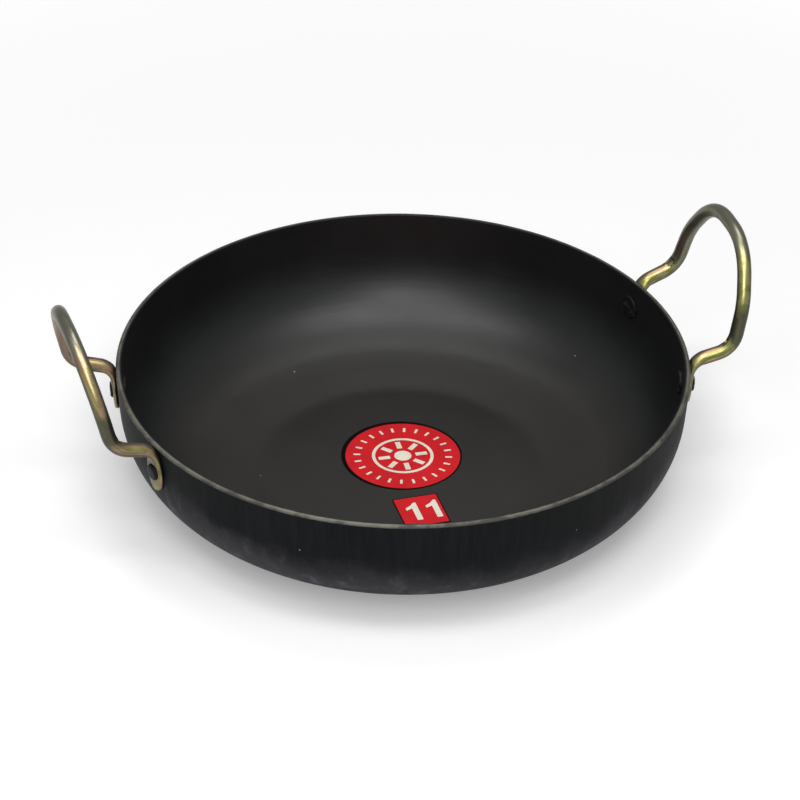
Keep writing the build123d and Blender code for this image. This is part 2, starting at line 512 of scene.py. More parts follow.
def group(name, inputs, outputs):
    """An empty shader group with its sockets, and its two end nodes"""
    tree = bpy.data.node_groups.new(name, "ShaderNodeTree")
    for label, kind, default in inputs:
        socket = tree.interface.new_socket(label, in_out="INPUT", socket_type=kind)
        if default is not None:
            socket.default_value = default
    for label, kind in outputs:
        tree.interface.new_socket(label, in_out="OUTPUT", socket_type=kind)
    return tree, tree.nodes.new("NodeGroupInput"), tree.nodes.new("NodeGroupOutput")


def use(tree, name, **values):
    """A group placed in a material with its own values"""
    node = tree.nodes.new("ShaderNodeGroup")
    node.node_tree = bpy.data.node_groups[name]
    for label, value in values.items():
        socket = node.inputs[label.replace("_", " ")]
        if isinstance(value, bpy.types.NodeSocket):
            tree.links.new(value, socket)
        else:
            socket.default_value = value
    return node


def make_grain_group():
    """Fine grain of a surface: how high it stands, and a slow change of gloss"""
    inputs = [("Vector", "NodeSocketVector", None), ("Size", "NodeSocketFloat", 0.0006),
              ("Patch", "NodeSocketFloat", 0.02)]
    tree, start, end = group("Grain", inputs, [("Height", "NodeSocketFloat"), ("Gloss", "NodeSocketFloat")])
    fine = noise(tree, start.outputs["Vector"], calc(tree, "DIVIDE", 1.0, start.outputs["Size"]), 3.0, 0.6)
    slow = noise(tree, start.outputs["Vector"], calc(tree, "DIVIDE", 1.0, start.outputs["Patch"]), 4.0, 0.6)
    tree.links.new(fine, end.inputs["Height"])
    tree.links.new(slow, end.inputs["Gloss"])


def make_speck_group():
    """Sparse specks of dust, as a mask"""
    inputs = [("Vector", "NodeSocketVector", None), ("Spacing", "NodeSocketFloat", 0.01),
              ("Size", "NodeSocketFloat", 0.0002), ("Share", "NodeSocketFloat", 0.3)]
    tree, start, end = group("Specks", inputs, [("Mask", "NodeSocketFloat")])
    scale = calc(tree, "DIVIDE", 1.0, start.outputs["Spacing"])
    cells = add(tree, "ShaderNodeTexVoronoi", {"Vector": start.outputs["Vector"], "Scale": scale})
    chosen = add(tree, "ShaderNodeSeparateColor", {"Color": cells.outputs["Color"]}).outputs["Red"]
    reach = calc(tree, "DIVIDE", start.outputs["Size"], start.outputs["Spacing"])
    size = calc(tree, "MULTIPLY", reach, calc(tree, "ADD", 0.5, chosen))
    near = calc(tree, "LESS_THAN", cells.outputs["Distance"], size)
    picked = calc(tree, "LESS_THAN", chosen, start.outputs["Share"])
    tree.links.new(calc(tree, "MULTIPLY", near, picked), end.inputs["Mask"])


def material(name):
    """A material with an empty tree but its output and one Principled shader"""
    made = bpy.data.materials.new(name)
    made.use_nodes = True
    tree = made.node_tree
    shader = tree.nodes["Principled BSDF"]
    return made, tree, shader, add(tree, "ShaderNodeTexCoord").outputs["Object"]


def bumped(tree, shader, height, depth):
    """Feeds the shader's normal from a height pattern of that depth in metres"""
    bump = add(tree, "ShaderNodeBump", {"Height": height, "Distance": depth, "Strength": 1.0})
    tree.links.new(bump.outputs["Normal"], shader.inputs["Normal"])


def shell_places(tree, spot):
    """Height above the table and distance from the axis of a spot on the bowl"""
    xyz = add(tree, "ShaderNodeSeparateXYZ", {0: spot})
    flat = add(tree, "ShaderNodeCombineXYZ", {"X": xyz.outputs["X"], "Y": xyz.outputs["Y"]}).outputs[0]
    radius = add(tree, "ShaderNodeVectorMath", {0: flat}, operation="LENGTH").outputs["Value"]
    return xyz.outputs["Z"], radius


def spun_marks(tree, spot, height, radius):
    """Noise drawn out round the bowl, like marks of polishing on a wheel"""
    places = add(tree, "ShaderNodeSeparateXYZ", {0: spot})
    level = add(tree, "ShaderNodeCombineXYZ", {0: places.outputs["X"], 1: places.outputs["Y"]}).outputs[0]
    outward = add(tree, "ShaderNodeVectorMath", {0: level}, operation="NORMALIZE").outputs["Vector"]
    around = stretched(tree, outward, (0.02, 0.02, 0.0))
    climb = add(tree, "ShaderNodeCombineXYZ", {2: calc(tree, "ADD", radius, height)}).outputs[0]
    place = add(tree, "ShaderNodeVectorMath", {0: around, 1: climb}, operation="ADD").outputs["Vector"]
    return noise(tree, place, 160.0, 4.0, 0.6)


def inner_coat(bowl, finish):
    """Matt black coating inside the bowl, with painted shade on the flat base, a warmer colour painted on the floor for
    warmer light there, and a few specks of dust
    """
    made, tree, shader, spot = material("inner_coat")
    height, radius = shell_places(tree, spot)
    grain = use(tree, "Grain", Vector=spot, Size=0.0009, Patch=0.035)
    dust = use(tree, "Specks", Vector=spot, Spacing=0.018, Size=0.0005, Share=0.5)
    # Painted shade: the flat base is darkened to 0.8 of the coat's colour, fading out past its edge.
    painted_base_shade = ramp(tree, radius, bowl.base_radius * 0.97, bowl.base_radius * 1.05, 0.80, 1.0)
    shade = calc(tree, "MULTIPLY", painted_base_shade, ramp(tree, grain.outputs["Gloss"], 0.3, 0.7, 0.85, 1.15))
    tone = add(tree, "ShaderNodeCombineColor", {0: shade, 1: shade, 2: shade}).outputs[0]
    # Painted warm light: a warmer colour on the floor, fading out up the wall.
    on_floor = ramp(tree, height, bowl.height * 0.36, bowl.height * 0.06)
    colour = mixed(tree, 1.0, mixed(tree, on_floor, finish.coat, finish.coat_warm_lit_floor), tone, "MULTIPLY")
    colour = mixed(tree, dust.outputs["Mask"], colour, (0.35, 0.35, 0.33))
    tree.links.new(colour, shader.inputs["Base Color"])
    rings = spun_marks(tree, spot, height, radius)
    faint_rings = calc(tree, "MULTIPLY", calc(tree, "SUBTRACT", rings, 0.5), 0.5)
    gloss = calc(tree, "ADD", grain.outputs["Gloss"], faint_rings)
    tree.links.new(ramp(tree, gloss, 0.2, 0.8, 0.385, 0.455), shader.inputs["Roughness"])
    relief = calc(tree, "ADD", grain.outputs["Height"], calc(tree, "MULTIPLY", rings, 2.5))
    eased_bend = ramp(tree, radius, bowl.base_radius * 1.27, bowl.base_radius * 1.69, 0.0, 25.0)
    bumped(tree, shader, calc(tree, "ADD", relief, eased_bend), 0.00003)
    shader.inputs["Specular IOR Level"].default_value = 0.51
    return made


def outer_coat(bowl, finish):
    """Matt black coating outside the bowl, streaked up the wall and scuffed low down, with painted sheen where the
    scuffed band rises towards the left and right sides
    """
    made, tree, shader, spot = material("outer_coat")
    height, radius = shell_places(tree, spot)
    grain = use(tree, "Grain", Vector=spot, Size=0.0009, Patch=0.035)
    dust = use(tree, "Specks", Vector=spot, Spacing=0.018, Size=0.0005, Share=0.5)
    fine_streaks = noise(tree, stretched(tree, spot, (1, 1, 0.05)), 520.0, 3.0, 0.6)
    bands = noise(tree, stretched(tree, spot, (1, 1, 0.12)), 90.0, 3.0, 0.5)
    smears = noise(tree, stretched(tree, spot, (1, 1, 0.22)), 130.0, 5.0, 0.65, 0.15)
    clouds = noise(tree, spot, 30.0, 5.0, 0.6, 0.4)
    wavy_height = calc(tree, "ADD", height, calc(tree, "MULTIPLY", calc(tree, "SUBTRACT", clouds, 0.5), 0.05))
    # Painted sheen: the pale band reaches higher towards the left and right sides.
    sideways = calc(tree, "ABSOLUTE", add(tree, "ShaderNodeSeparateXYZ", {0: spot}).outputs["X"])
    wavy_height = calc(tree, "SUBTRACT", wavy_height, calc(tree, "MULTIPLY", sideways, 0.10))
    low_down = ramp(tree, wavy_height, bowl.height * 0.60, bowl.height * 0.18)
    haze = calc(tree, "ADD", ramp(tree, clouds, 0.30, 0.75, 0.34, 0.66), ramp(tree, smears, 0.48, 0.76, 0.0, 0.9))
    streaks = calc(tree, "MULTIPLY", ramp(tree, fine_streaks, 0.35, 0.75), 0.038)
    veil = calc(tree, "ADD", streaks, ramp(tree, bands, 0.40, 0.75, 0.0, 0.040))
    # worn holds the scuffs low down, the streaks, and the painted sheen at the sides.
    worn = calc(tree, "ADD", calc(tree, "MULTIPLY", haze, low_down), veil, clamp=True)
    shade = ramp(tree, grain.outputs["Gloss"], 0.3, 0.7, 0.85, 1.15)
    tone = add(tree, "ShaderNodeCombineColor", {0: shade, 1: shade, 2: shade}).outputs[0]
    colour = mixed(tree, worn, mixed(tree, 1.0, finish.coat, tone, "MULTIPLY"), finish.coat_worn_and_sheen)
    colour = mixed(tree, dust.outputs["Mask"], colour, (0.35, 0.35, 0.33))
    tree.links.new(colour, shader.inputs["Base Color"])
    tree.links.new(ramp(tree, grain.outputs["Gloss"], 0.25, 0.75, 0.55, 0.62), shader.inputs["Roughness"])
    relief = calc(tree, "ADD", grain.outputs["Height"], fine_streaks)
    bumped(tree, shader, relief, 0.00003)
    shader.inputs["Specular IOR Level"].default_value = 0.08
    return made


def cut_edge(bowl, finish):
    """Cut edge of the sheet: bare grey steel with the black coat creeping over its corners, mottled, darker towards its
    outer side, and with painted shade towards the right and the back
    """
    made, tree, shader, spot = material("cut_edge")
    height, radius = shell_places(tree, spot)
    ragged = noise(tree, spot, 420.0, 4.0, 0.7)
    fray = calc(tree, "MULTIPLY", calc(tree, "SUBTRACT", ragged, 0.5), bowl.rim_outer_edge * 1.2)
    bare_line = bowl.height - bowl.rim_fall - bowl.rim_outer_edge * 0.8
    low_side = ramp(tree, calc(tree, "ADD", height, fray), bare_line - 0.0002, bare_line + 0.0002)
    wall_r = calc(tree, "ADD", calc(tree, "MULTIPLY", fray, 0.5), bowl.rim_radius - bowl.sheet * 0.68)
    inner_side = ramp(tree, calc(tree, "SUBTRACT", radius, wall_r), -0.0003, 0.0002)
    bare = calc(tree, "MULTIPLY", low_side, inner_side)
    tone = noise(tree, spot, 90.0, 5.0, 0.6)
    # The steel is darker towards the outer side of the edge.
    outward = ramp(tree, calc(tree, "SUBTRACT", radius, wall_r), bowl.sheet * 0.2, bowl.sheet * 0.6, 0.0, 0.5)
    places = add(tree, "ShaderNodeSeparateXYZ", {0: spot})
    # Painted shade: the steel darkens towards the right and the back.
    painted_shade_right_back = calc(tree, "ADD", ramp(tree, places.outputs["X"], -0.11, 0.02, 0.0, 0.22),
                   ramp(tree, places.outputs["Y"], 0.0, 0.12, 0.0, 0.35))
    mottled_and_shaded = calc(tree, "ADD", ramp(tree, tone, 0.38, 0.72, 0.0, 0.85), painted_shade_right_back)
    dulled_and_shaded = calc(tree, "ADD", mottled_and_shaded, outward, clamp=True)
    steel = mixed(tree, dulled_and_shaded, finish.bare_steel, finish.dull_steel_and_shade)
    tree.links.new(mixed(tree, bare, finish.coat, steel), shader.inputs["Base Color"])
    tree.links.new(ramp(tree, bare, 0.0, 1.0, 0.0, 0.3), shader.inputs["Metallic"])
    tree.links.new(ramp(tree, tone, 0.3, 0.7, 0.42, 0.55), shader.inputs["Roughness"])
    bumped(tree, shader, ragged, 0.00005)
    shader.inputs["Specular IOR Level"].default_value = 0.25
    return made


def zinc(finish):
    """Yellow-passivated zinc: bright yellow limbs, grey top, pinkish and greenish tints, with painted shade on the
    knees and edges, painted dark bands, painted pink highlight and underside tints, and painted light on the back limb
    """
    made, tree, shader, spot = material("yellow_zinc")
    facing = add(tree, "ShaderNodeSeparateXYZ", {0: add(tree, "ShaderNodeTexCoord").outputs["Normal"]})
    along = add(tree, "ShaderNodeAttribute", attribute_name="along").outputs["Fac"]
    grain = use(tree, "Grain", Vector=spot, Size=0.0005, Patch=0.008)
    dust = use(tree, "Specks", Vector=spot, Spacing=0.006, Size=0.00022, Share=0.2)
    clouds = noise(tree, spot, 55.0, 3.0, 0.55, 0.6)
    small_clouds = noise(tree, spot, 160.0, 3.0, 0.6, 0.4)
    wander = calc(tree, "SUBTRACT", clouds, 0.5)
    place_along = calc(tree, "ADD", along, calc(tree, "MULTIPLY", wander, 0.22))

    # Painted shade: the knee band is darkened as if it mirrors the dark bowl.
    knee = calc(tree, "MULTIPLY", ramp(tree, place_along, 0.37, 0.43), ramp(tree, place_along, 0.60, 0.50))
    top = ramp(tree, place_along, 0.76, 0.88)
    across = add(tree, "ShaderNodeSeparateXYZ", {0: spot})
    left_side = ramp(tree, across.outputs["X"], 0.05, -0.05)
    # Painted light: the limb nearer the back is made greyer and paler, as a brighter reflection.
    lit_back_limb = calc(tree, "MULTIPLY", ramp(tree, across.outputs["Y"], 0.0, 0.03), ramp(tree, place_along, 0.36, 0.44))
    colour = mixed(tree, ramp(tree, small_clouds, 0.48, 0.58, 0.0, 0.85), finish.zinc_yellow, finish.zinc_green)
    pink_patches = calc(tree, "MULTIPLY", left_side, ramp(tree, clouds, 0.44, 0.58, 0.12, 0.75))
    colour = mixed(tree, pink_patches, colour, finish.zinc_pink_and_painted_tint)
    # Grey on top of the loop, and painted light on the back limb.
    grey_top_and_lit_back = calc(tree, "MULTIPLY", calc(tree, "MAXIMUM", top, lit_back_limb), 0.9)
    colour = mixed(tree, grey_top_and_lit_back, colour, finish.zinc_grey_and_lit)
    side = calc(tree, "ADD", facing.outputs["Z"], calc(tree, "MULTIPLY", wander, 0.9))
    on_foot = ramp(tree, place_along, 0.42, 0.34)
    coppery = calc(tree, "MAXIMUM", on_foot, left_side)
    # Painted highlight: a pink tint on the upward faces of the feet.
    painted_foot_sheen = calc(tree, "MULTIPLY", ramp(tree, side, 0.55, 0.85, 0.0, 0.65), on_foot)
    colour = mixed(tree, painted_foot_sheen, colour, finish.zinc_pink_and_painted_tint)
    # Painted reflection: a dark olive band where the rod's side faces sideways, between its lit top and its underside,
    # weaker on the grey parts.
    painted_dark_band = calc(tree, "MULTIPLY", ramp(tree, side, -0.12, 0.08), ramp(tree, side, 0.30, 0.12))
    painted_dark_band = calc(tree, "MULTIPLY", painted_dark_band, ramp(tree, grey_top_and_lit_back, 0.0, 0.9, 0.6, 0.15))
    colour = mixed(tree, painted_dark_band, colour, finish.zinc_olive_and_shade)
    # Painted tint: pink on the downward faces, on the feet and on the left handle.
    below = calc(tree, "MULTIPLY", ramp(tree, side, 0.0, -0.30, 0.0, 0.9), coppery)
    colour = mixed(tree, below, colour, finish.zinc_pink_and_painted_tint)
    # Painted shade: olive darkening where the rod turns away from view, weaker on the pads and on the grey parts.
    turned_away = add(tree, "ShaderNodeLayerWeight", {"Blend": 0.5}).outputs["Facing"]
    edge_shade_place = calc(tree, "ADD", turned_away, calc(tree, "MULTIPLY", wander, 0.5))
    off_pad = ramp(tree, place_along, 0.10, 0.18, 0.35, 1.0)
    shadow = calc(tree, "MULTIPLY", ramp(tree, edge_shade_place, 0.08, 0.48, 0.0, 0.85), off_pad)
    shadowed = calc(tree, "MULTIPLY", shadow, ramp(tree, grey_top_and_lit_back, 0.0, 0.9, 1.0, 0.72))
    colour = mixed(tree, shadowed, colour, finish.zinc_olive_and_shade)
    # Painted shade on the knees, weaker on the back limb.
    painted_knee_shade = calc(tree, "MULTIPLY", knee, ramp(tree, lit_back_limb, 0.0, 1.0, 0.88, 0.35))
    colour = mixed(tree, painted_knee_shade, colour, finish.zinc_olive_and_shade)
    colour = mixed(tree, ramp(tree, place_along, 0.17, 0.12, 0.0, 0.35), colour, finish.zinc_olive_and_shade)
    colour = mixed(tree, ramp(tree, place_along, 0.035, 0.015, 0.0, 0.8), colour, finish.zinc_green)
    colour = mixed(tree, dust.outputs["Mask"], colour, (0.02, 0.018, 0.012))
    tree.links.new(colour, shader.inputs["Base Color"])
    shader.inputs["Metallic"].default_value = 0.86
    gloss = ramp(tree, grain.outputs["Gloss"], 0.3, 0.7, 0.27, 0.36)
    tree.links.new(gloss, shader.inputs["Roughness"])
    bumped(tree, shader, grain.outputs["Height"], 0.00002)
    return made


def black_rivet(finish):
    """Blackened rivet with worn high spots"""
    made, tree, shader, spot = material("black_rivet")
    grain = use(tree, "Grain", Vector=spot, Size=0.0007, Patch=0.003)
    dust = use(tree, "Specks", Vector=spot, Spacing=0.004, Size=0.00025, Share=0.3)
    worn = ramp(tree, grain.outputs["Gloss"], 0.50, 0.70, 0.0, 0.8)
    colour = mixed(tree, worn, finish.rivet, (0.06, 0.06, 0.052))
    colour = mixed(tree, dust.outputs["Mask"], colour, (0.3, 0.3, 0.28))
    tree.links.new(colour, shader.inputs["Base Color"])
    tree.links.new(ramp(tree, grain.outputs["Gloss"], 0.3, 0.7, 0.38, 0.52), shader.inputs["Roughness"])
    bumped(tree, shader, grain.outputs["Height"], 0.00004)
    shader.inputs["Specular IOR Level"].default_value = 0.14
    return made


def film(name, colour, roughness, shine=0.15):
    """Printed film: nearly even colour with a faint waviness of the glued sheet"""
    made, tree, shader, spot = material(name)
    grain = use(tree, "Grain", Vector=spot, Size=0.0012, Patch=0.009)
    shade = ramp(tree, grain.outputs["Gloss"], 0.3, 0.7, 0.90, 1.06)
    tone = add(tree, "ShaderNodeCombineColor", {0: shade, 1: shade, 2: shade}).outputs[0]
    tree.links.new(mixed(tree, 1.0, colour, tone, "MULTIPLY"), shader.inputs["Base Color"])
    gloss = ramp(tree, grain.outputs["Gloss"], 0.3, 0.7, roughness - 0.04, roughness + 0.05)
    tree.links.new(gloss, shader.inputs["Roughness"])
    waves = calc(tree, "ADD", grain.outputs["Gloss"], calc(tree, "MULTIPLY", grain.outputs["Height"], 0.1))
    bumped(tree, shader, waves, 0.00012)
    shader.inputs["Specular IOR Level"].default_value = shine
    return made


def give(piece, made):
    """One material on the whole piece"""
    piece.data.materials.clear()
    piece.data.materials.append(made)


def give_faces(piece, made, wanted):
    """A further material on the faces for which wanted is true"""
    piece.data.materials.append(made)
    mesh = edit(piece)
    for face in mesh.faces:
        face.select_set(wanted(face))
    piece.active_material_index = len(piece.data.materials) - 1
    bpy.ops.object.material_slot_assign()
    done()


# Pieces

def build_bowl(bowl, handle, rivet, finish):
    """The pressed sheet bowl with its four rivet holes"""
    piece = turned("kadai_bowl", bowl_outline(bowl, rivet), bowl.segments)
    walls = [wall_frame(bowl, rivet, angle) for angle in rivet_angles(handle).values()]
    drill(piece, walls, rivet.shank / 2 + rivet.hole_gap, bowl.sheet * 3)
    smooth(piece, 40)
    give(piece, inner_coat(bowl, finish))
    give_faces(piece, outer_coat(bowl, finish), leans_out)
    edge_line = bowl.height - bowl.rim_fall - bowl.rim_outer_edge * 1.5
    give_faces(piece, cut_edge(bowl, finish), lambda face: face.calc_center_median().z > edge_line)
    hand_over(piece, "bowl_black", "bowl")


def leans_out(face):
    """Whether a face of the sheet looks away from the inside of the bowl"""
    middle = face.calc_center_median()
    out = Vector((middle.x, middle.y, 0)).normalized()
    return face.normal.dot(out) > face.normal.z / 2


def foot_corners(bowl, handle, rivet):
    """Corners of a handle's path from the end of the wall bend on, and the pad's line, in the wall's frame"""
    to_wall = wall_frame(bowl, rivet, handle.rivet_angle).inverted()
    depth = rivet.seat_gap + handle.pad_thickness / 2
    foot = Vector((bowl.rim_radius + handle.foot_reach, 0, bowl.height + handle.foot_rise))
    up = Vector((sin(handle.loop_lean), 0, cos(handle.loop_lean)))
    loop = [(0, handle.foot_spacing), (handle.shoulder_height, handle.shoulder_spacing)]
    loop += [(handle.loop_height, handle.top_spacing), (handle.loop_height, 0)]
    tip = Vector((0, rivet.drop - handle.pad_drop - handle.pad_height / 2, depth))
    leg = Vector((0, rivet.drop - handle.leg_drop, depth))
    return [tip, leg], [to_wall @ (foot + up * rise + Vector((0, spacing / 2, 0))) for rise, spacing in loop]


def section(spot, heading, width, thickness):
    """Oval section square to the heading, with its width along the rim"""
    across = (Vector((1, 0, 0)) - heading * heading.x).normalized()
    matrix = Matrix((across, heading.cross(across), heading)).transposed().to_4x4()
    matrix.translation = spot
    return matrix, width, thickness


def half_sections(bowl, handle, rivet):
    """Sections of half a handle in the wall's frame: hammered pad, neck in the wall bend, then round rod"""
    pad_line, corners = foot_corners(bowl, handle, rivet)
    step = radians(6)
    neck = rounded([*pad_line, corners[0]], [handle.wall_bend], step)[1:-1]
    rod = rounded([neck[-1][0], *corners], [handle.foot_bend, handle.loop_bend, handle.loop_bend], step)
    middle = rivet.drop - handle.pad_drop
    half_height = handle.pad_height / 2
    raw = handle.pad_thickness * 1.5
    depth = rivet.seat_gap + handle.pad_thickness / 2
    sections = []

    lowest = radians(-80)
    top = asin((neck[0][0].y - middle) / half_height)
    rings = 18
    for i in range(rings):
        angle = lowest + (top - lowest) * i / rings
        if angle < 0:
            width = handle.pad_width * cos(angle)
        else:
            spread = cos(angle / top * pi / 2)
            width = handle.neck_foot_width + (handle.pad_width - handle.neck_foot_width) * spread
        thickness = raw * min(1.0, 0.25 + 1.3 * cos(angle))
        spot = Vector((0, middle + half_height * sin(angle), depth))
        sections.append(section(spot, Vector((0, 1, 0)), width, thickness))
    for i, (spot, heading) in enumerate(neck):
        stage = i / (len(neck) - 1)
        width = quadratic(handle.neck_foot_width, handle.neck_width, handle.rod, stage)
        thickness = quadratic(raw, handle.neck_thickness, handle.rod, stage)
        sections.append(section(spot, heading, width, thickness))
    for spot, heading in divided(rod, handle.rod * 0.5)[1:]:
        sections.append(section(spot, heading, handle.rod, handle.rod))
    return sections


def quadratic(start, middle, end, step):
    """Curve through three sizes at the start, half way and at the end"""
    return start * (1 - step) * (1 - 2 * step) + middle * 4 * step * (1 - step) + end * step * (2 * step - 1)


def pinch_feet(piece, bowl, handle, rivet):
    """The small dents that the bending tool leaves inside the two foot bends"""
    pad_line, corners = foot_corners(bowl, handle, rivet)
    wall = wall_frame(bowl, rivet, handle.rivet_angle)
    before, here, after = wall @ pad_line[1], wall @ corners[0], wall @ corners[1]
    inward = ((before - here).normalized() + (after - here).normalized()).normalized()
    bend = pi - (before - here).angle(after - here)
    inside = here + inward * (handle.foot_bend * (1 / cos(bend / 2) - 1) + handle.rod / 2)
    for side in (1, -1):
        flip = Vector((1, side, 1))
        edit(piece)
        pick(bmesh.from_edit_mesh(piece.data), lambda v: (v.co - inside * flip).length < handle.pinch * 2)
        bpy.ops.transform.translate(value=-inward * flip * handle.pinch)
        done()


def build_handles(bowl, handle, rivet, finish):
    """One bent rod with two hammered, drilled ends, and its twin on the other side"""
    sections = half_sections(bowl, handle, rivet)
    half = loft("kadai_right_handle", sections, handle.sides)
    pick(bmesh.from_edit_mesh(half.data), lambda v: v.index < handle.sides)
    bpy.ops.mesh.edge_face_add()
    front = rivet.seat_gap + handle.pad_thickness
    pad_top = rivet.drop - handle.leg_drop - handle.wall_bend * 0.9
    pick(bmesh.from_edit_mesh(half.data), lambda v: v.co.z < rivet.seat_gap)
    bpy.ops.transform.resize(value=(1, 1, 0), center_override=(0, 0, rivet.seat_gap))
    pick(bmesh.from_edit_mesh(half.data), lambda v: v.co.z > front and v.co.y < pad_top)
    bpy.ops.transform.resize(value=(1, 1, 0), center_override=(0, 0, front))
    done()

    lengths = half.data.attributes.new("along", "FLOAT", "POINT")
    walked = [0.0]
    for before, after in zip(sections, sections[1:]):
        walked.append(walked[-1] + (after[0].translation - before[0].translation).length)
    for number, distance in enumerate(walked):
        for i in range(number * handle.sides, (number + 1) * handle.sides):
            lengths.data[i].value = distance / walked[-1]

    marks = half.vertex_groups.new(name="hammered")
    hit = [v.index for v in half.data.vertices if v.co.y < pad_top and v.co.z > front * 0.5]
    marks.add(hit, 1.0, "REPLACE")
    dents = bpy.data.textures.new("dents", "CLOUDS")
    dents.noise_scale = 0.0035
    modify(half, "DISPLACE", texture=dents, strength=handle.hammer_marks, mid_level=0.7,
           vertex_group="hammered", texture_coords="LOCAL")

    place(half, wall_frame(bowl, rivet, handle.rivet_angle))
    modify(half, "MIRROR", use_axis=(False, True, False), use_mirror_merge=True, merge_threshold=1e-5)
    edit(half)
    bpy.ops.mesh.select_all(action="SELECT")
    bpy.ops.mesh.normals_make_consistent(inside=False)
    done()
    pinch_feet(half, bowl, handle, rivet)
    walls = [wall_frame(bowl, rivet, angle) for angle in (handle.rivet_angle, -handle.rivet_angle)]
    drill(half, walls, rivet.shank / 2 + rivet.hole_gap, handle.pad_thickness * 3)
    smooth(half, 40)
    give(half, zinc(finish))
    left = copied(half, "kadai_left_handle", Matrix.Rotation(pi, 4, "Z"))
    hand_over(half, "handle_zinc", "right_handle")
    hand_over(left, "handle_zinc", "left_handle")


def build_rivets(bowl, handle, rivet, finish):
    """Four rivets: wide flat head inside, shank, and a low hammered head over the pad"""
    head_r = rivet.inner_head / 2
    bow = head_r**2 / (2 * (bowl.rim_radius - bowl.sheet))
    seat = -bowl.sheet - bow - rivet.seat_gap
    back = seat - rivet.inner_height
    dome_seat = 2 * rivet.seat_gap + handle.pad_thickness
    face = dome_seat + rivet.outer_height
    shank_r = rivet.shank / 2
    dome_r = rivet.outer_head / 2
    flat = 0.00005
    points = [(0, back), (head_r, back + rivet.crown), (head_r, seat), (shank_r, seat), (shank_r, dome_seat),
              (dome_r, dome_seat), (dome_r, face - rivet.crown), (0, face)]
    radii = [rivet.inner_edge, flat, flat, flat, flat, rivet.outer_edge]
    path = rounded([Vector((r, 0, z)) for r, z in points], radii, radians(12))
    outline = [spot for spot, heading in divided(path, 0.0006)]
    first = turned("kadai_rivet", outline, rivet.segments)
    dents = bpy.data.textures.new("rivet dents", "CLOUDS")
    dents.noise_scale = 0.0028
    heads = first.vertex_groups.new(name="head")
    heads.add([v.index for v in first.data.vertices if v.co.z > dome_seat + rivet.outer_height * 0.4], 1.0, "REPLACE")
    modify(first, "DISPLACE", texture=dents, strength=0.0004, mid_level=0.7, vertex_group="head")
    smooth(first, 40)
    give(first, black_rivet(finish))
    for name, angle in rivet_angles(handle).items():
        piece = copied(first, "kadai_" + name, wall_frame(bowl, rivet, angle))
        hand_over(piece, "rivet_black", name)
    bpy.data.objects.remove(first)


def build_round_sticker(bowl, stickers, finish):
    """Round sticker with a plain ring of dashes, on a dark backing that shows past its edge"""
    floor = bowl.sheet
    film_red = film("film_red", finish.film_red, 0.32)
    film_cream = film("film_cream", finish.film_cream, 0.38)
    film_black = film("film_black", finish.film_black, 0.40, 0.03)
    backing = disc("backing", stickers.backing / 2, floor, stickers.thickness * 0.6, 128)
    place(backing, Matrix.Translation((stickers.backing_x, stickers.backing_y, 0)))
    give(backing, film_black)
    red = disc("red", stickers.disc / 2, floor, stickers.thickness * 0.85, 128)
    give(red, film_red)
    print_low = floor + stickers.thickness * 0.8
    print_height = stickers.thickness * 0.2
    marks = []
    for dash in range(24):
        bar = bar_plate("dash", stickers.disc * 0.40, 0.0012, 0.0034, print_low, print_height)
        place(bar, Matrix.Rotation(2 * pi * dash / 24, 4, "Z"))
        marks.append(bar)
    ring = ring_plate("ring", stickers.disc * 0.255, 0.0016, print_low, print_height)
    dot = disc("dot", stickers.disc * 0.075, print_low, print_height, 64)
    marks += [ring, dot]
    for petal in range(8):
        bar = bar_plate("ray", stickers.disc * 0.165, 0.0026, 0.0058, print_low, print_height)
        place(bar, Matrix.Rotation(2 * pi * petal / 8, 4, "Z"))
        marks.append(bar)
    for mark in marks:
        give(mark, film_cream)
    piece = joined([backing, red, *marks], "kadai_round_sticker")
    turn_matrix = Matrix.Rotation(stickers.disc_turn, 4, "Z")
    place(piece, Matrix.Translation((stickers.disc_x, stickers.disc_y, 0)) @ turn_matrix)
    hand_over(piece, "sticker_red", "round_sticker")


def bar_plate(name, radius, width, span, bottom, height):
    """A small oblong mark pointing away from the middle"""
    half = width / 2
    near = radius - span / 2
    far = radius + span / 2
    return plate(name, [(near, -half), (far, -half), (far, half), (near, half)], bottom, height)


def ring_plate(name, radius, width, bottom, height):
    """A flat ring"""
    inner = radius - width / 2
    outer = radius + width / 2
    square = [(inner, bottom), (outer, bottom), (outer, bottom + height), (inner, bottom + height), (inner, bottom)]
    return turned(name, [Vector((r, 0, z)) for r, z in square], 96)


